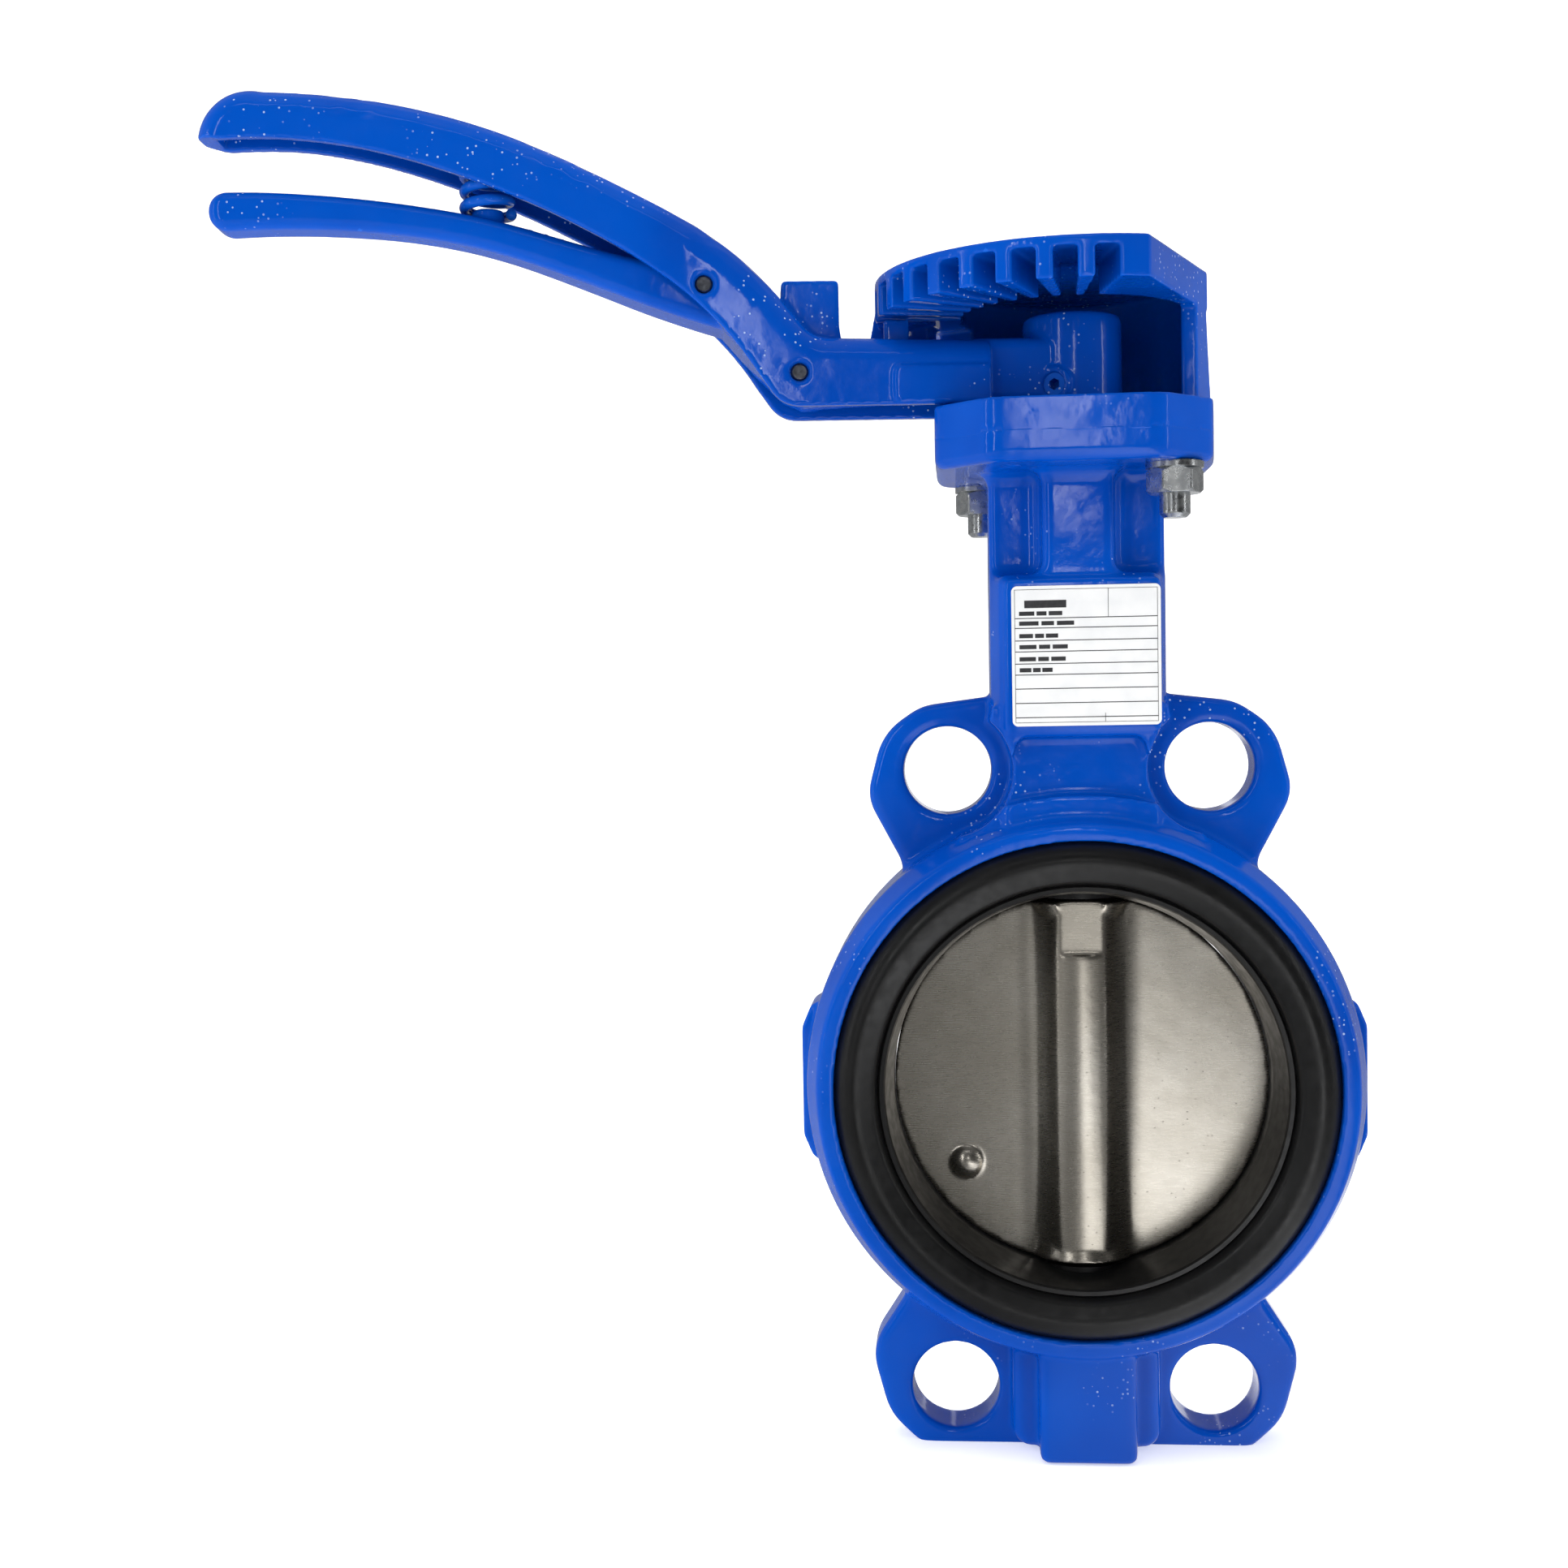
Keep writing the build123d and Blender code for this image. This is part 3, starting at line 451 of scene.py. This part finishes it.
# ---- materials ----
blue = epoxy("blue_epoxy")
black_rubber = rubber("epdm")
steel = cast_stainless("cast_stainless")
zinc = metal("zinc_plate", (0.72, 0.74, 0.74), (0.48, 0.50, 0.52), 0.22, 0.38)
turned_steel = metal("turned_stainless", (0.62, 0.61, 0.59), (0.50, 0.49, 0.47), 0.18, 0.3)
bronze = metal("bronze", (0.62, 0.47, 0.24), (0.48, 0.33, 0.16), 0.25, 0.4)
dark_steel = metal("phosphated_steel", (0.12, 0.12, 0.13), (0.05, 0.05, 0.055), 0.35, 0.5)
pin_steel = metal("pin_steel", (0.20, 0.21, 0.24), (0.08, 0.09, 0.11), 0.3, 0.5, bevel=0.0002)
label_white = film("label_film")
label_ink = ink("label_ink")

NODE_MATERIALS = {
    "seat_liner": black_rubber,
    "upper_stem": turned_steel,
    "lower_stem": turned_steel,
    "neck_bush_lower": bronze,
    "neck_bush_upper": bronze,
    "lower_stem_bush": bronze,
    "stem_o_rings": black_rubber,
    "stem_dust_seal": black_rubber,
    "thrust_washer": zinc,
    "stem_circlip": dark_steel,
    "bottom_plug": zinc,
    "plug_gasket": black_rubber,
    "bracket_studs": zinc,
    "bracket_washers": zinc,
    "bracket_nuts": zinc,
    "lever_grub_screw": blue,
    "trigger_pivot_pin": pin_steel,
    "trigger_stop_pin": pin_steel,
    "rating_plate": label_white,
}
for node, material in NODE_MATERIALS.items():
    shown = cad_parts[node]
    shown.data.materials.clear()
    shown.data.materials.append(material)

# ---- the castings' visible copies ----
cast_copy(
    "body", blue, "valve_body", BODY_VOXEL, 7, PAINT_RIPPLE,
    at_seam=True,
)
cast_copy(
    "notch_bracket", blue, "valve_body", FINE_VOXEL, 6, PAINT_RIPPLE,
    at_seam=True, sunk=SEAM_SINK,
)
cast_copy("lever_handle", blue, "rotor", FINE_VOXEL, 5, PAINT_RIPPLE)
cast_copy("trigger_lever", blue, "trigger", FINE_VOXEL, 5, PAINT_RIPPLE)
cast_copy("disc", steel, "rotor", FINE_VOXEL, 5, STEEL_RIPPLE)

# ---- return spring, between the lever above and the trigger below; the coil is not attached to either ----
spring_low, spring_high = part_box("return_spring")
spring_centre = (spring_low + spring_high) / 2
spring = coil("coil_spring", spring_centre, spring_low.z, spring_high.z, blue)
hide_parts("return_spring")
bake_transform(spring)

# ---- label print: ruled rows and plain bars where a maker's data would stand ----
label_low, label_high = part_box("rating_plate")
left = label_low.x + LABEL_SIDE_MARGIN
right = label_high.x - LABEL_SIDE_MARGIN
bottom = label_low.z + LABEL_END_MARGIN
top = label_high.z - LABEL_END_MARGIN
bars = [
    (left, bottom, right, bottom + RULE),
    (left, top - RULE, right, top),
    (left, bottom, left + RULE, top),
    (right - RULE, bottom, right, top),
]
for drop in ROW_DROPS:
    bars.append((left, top - drop - RULE, right, top - drop + RULE))
column = left + TOP_COLUMN_X
bars.append((column, top - ROW_DROPS[0], column + RULE, top))
column = left + FOOT_COLUMN_X
bars.append((column, bottom, column + RULE, bottom + FOOT_COLUMN_HEIGHT))
for drop, length in zip(ROW_DROPS, WORD_LENGTHS):
    x = left + WORD_START
    z = top - drop + WORD_LIFT
    for share in WORD_PARTS:
        bars.append((x, z, x + length * share, z + WORD_HEIGHT))
        x += length * (share + WORD_GAP)
bars.append((left + TITLE_X[0], top - TITLE_DROP[0], left + TITLE_X[1], top - TITLE_DROP[1]))
printed_bars("label_print", bars, label_ink, "valve_body")


# ---- floor and backdrop in one swept sheet ----
def paper():
    """White sweep that glows a little. Glossy surfaces see it dark, with one bright strip."""
    g = Graph("paper")
    shade = g.mix(g.noise(3, 2), PAPER_WHITE, PAPER_GREY)
    split = g.tree.nodes.new("ShaderNodeSeparateXYZ")
    g.put(split, "Vector", g.coordinates)
    across = split.outputs["X"]
    strip = g.math("MULTIPLY", g.ramp(across, -0.04, 0.05), g.ramp(across, 0.11, 0.22, 1.0, 0.0))
    left_side = g.ramp(across, -0.40, -0.12, 0.30, 0.10)
    in_front = g.math("MAXIMUM", g.math("MULTIPLY", strip, 0.9), left_side)
    behind = g.ramp(split.outputs["Y"], -0.20, -0.08)
    in_front = g.math("MULTIPLY", in_front, g.math("SUBTRACT", 1.0, behind))
    mirrored_shade = g.math("MAXIMUM", in_front, g.math("MULTIPLY", behind, 0.28))
    mirrored = g.tree.nodes.new("ShaderNodeLightPath").outputs["Is Glossy Ray"]
    grey = g.tree.nodes.new("ShaderNodeCombineColor")
    for channel in ("Red", "Green", "Blue"):
        g.put(grey, channel, mirrored_shade)
    colour = g.mix(mirrored, shade, grey.outputs["Color"])
    seen_glow = g.math("MULTIPLY", g.math("SUBTRACT", 1.0, mirrored), PAPER_GLOW)
    strip_glow = g.math("MULTIPLY", g.math("MULTIPLY", strip, mirrored), STRIP_GLOW)
    glow = g.math("ADD", seen_glow, strip_glow)
    g.set(Base_Color=colour, Roughness=0.9, Normal=g.bump(g.noise(800, 2), 0.00005, 0.2))
    g.set(Specular_IOR_Level=0.1, Emission_Color=GLOW_WHITE, Emission_Strength=glow)
    return g.material


def sweep_sheet():
    """Level floor that curves up into an upright backdrop."""
    profile = [(FLOOR_NEAR_Y, 0.0), (FLOOR_FAR_Y, 0.0)]
    for k in range(1, SWEEP_STEPS + 1):
        turn = math.radians(90 * k / SWEEP_STEPS)
        rise = SWEEP_RADIUS - SWEEP_RADIUS * math.cos(turn)
        profile.append((FLOOR_FAR_Y + SWEEP_RADIUS * math.sin(turn), rise))
    profile.append((FLOOR_FAR_Y + SWEEP_RADIUS, BACKDROP_HEIGHT))
    bm = bmesh.new()
    rows = []
    for y, z in profile:
        ends = (-FLOOR_HALF_WIDTH, FLOOR_HALF_WIDTH)
        rows.append([bm.verts.new((x, y, z + FLOOR_Z)) for x in ends])
    for first, second in zip(rows, rows[1:]):
        bm.faces.new((first[0], first[1], second[1], second[0]))
    mesh = mesh_from(bm, "backdrop")
    shade_smooth(mesh)
    sheet = bpy.data.objects.new("backdrop", mesh)
    show(sheet)
    mesh.materials.append(paper())


sweep_sheet()


# ---- lights ----
def area_light(name, place, target, size, power, mirrored=True):
    """Rectangular lamp; one that is not mirrored lights the valve without showing in its gloss."""
    data = bpy.data.lights.new(name, "AREA")
    data.shape = "RECTANGLE"
    data.size, data.size_y = size
    data.energy = power
    light = bpy.data.objects.new(name, data)
    light.location = place
    light.rotation_euler = (Vector(target) - Vector(place)).to_track_quat("-Z", "Y").to_euler()
    show(light)
    light.visible_glossy = mirrored


area_light("top_box", (-0.1, 0.0, 1.5), (0, 0, 0.1), (1.4, 1.0), 12, mirrored=False)
area_light("left_box", (-1.4, -0.15, 0.4), (-0.02, 0, 0.08), (0.4, 1.2), 6, mirrored=False)
area_light("right_box", (1.35, -0.1, 0.35), BODY_MIDDLE, (0.3, 1.2), 4, mirrored=False)
area_light("front_left_strip", (-0.75, -1.2, 0.5), BODY_MIDDLE, (0.08, 0.8), 1.3)
area_light("front_strip", (0.06, -1.3, 0.42), (0, 0, 0.15), (0.05, 0.35), 0.45)
area_light("left_strip", (-1.2, -0.5, 0.3), (-0.02, 0, 0.08), (0.05, 0.9), 0.8)
area_light("right_strip", (1.2, -0.4, 0.3), BODY_MIDDLE, (0.05, 0.9), 0.8)
area_light("front_top_strip", (-0.1, -0.9, 1.2), (-0.05, 0, 0.15), (1.0, 0.05), 0.45)


def light_world():
    """Wrap-round fill; glossy surfaces see a darker room in front of the valve."""
    world = bpy.data.worlds.new("studio")
    bpy.context.scene.world = world
    world.use_nodes = True
    tree = world.node_tree
    background = tree.nodes["Background"]
    direction = tree.nodes.new("ShaderNodeTexCoord")
    split = tree.nodes.new("ShaderNodeSeparateXYZ")
    tree.links.new(direction.outputs["Generated"], split.inputs["Vector"])
    choose = tree.nodes.new("ShaderNodeMix")
    path = tree.nodes.new("ShaderNodeLightPath")
    factor, seen, mirrored = choose.inputs[0], choose.inputs[2], choose.inputs[3]
    tree.links.new(path.outputs["Is Glossy Ray"], factor)
    for (front, back), socket in ((FILL_SEEN, seen), (FILL_MIRRORED, mirrored)):
        fade = tree.nodes.new("ShaderNodeMapRange")
        fade.inputs["From Min"].default_value = FILL_FADE[0]
        fade.inputs["From Max"].default_value = FILL_FADE[1]
        fade.inputs["To Min"].default_value = front
        fade.inputs["To Max"].default_value = back
        tree.links.new(split.outputs["Y"], fade.inputs["Value"])
        tree.links.new(fade.outputs["Result"], socket)
    tree.links.new(choose.outputs[0], background.inputs["Strength"])
    background.inputs["Color"].default_value = FILL_COLOUR


light_world()

# ---- camera ----
camera_data = bpy.data.cameras.new("camera")
camera_data.lens = CAMERA_LENS
camera_data.sensor_width = CAMERA_SENSOR
camera = bpy.data.objects.new("camera", camera_data)
turned = Matrix.Rotation(math.radians(CAMERA_YAW), 4, "Z")
turned = turned @ Matrix.Rotation(math.radians(CAMERA_PITCH), 4, "X")
turned = turned @ Matrix.Rotation(math.radians(CAMERA_ROLL), 4, "Y")
upright = Matrix.Rotation(math.radians(90), 4, "X")
camera.matrix_world = Matrix.Translation(CAMERA_POINT) @ turned @ upright
show(camera)
bpy.context.scene.camera = camera
bpy.context.scene.view_settings.view_transform = "Standard"
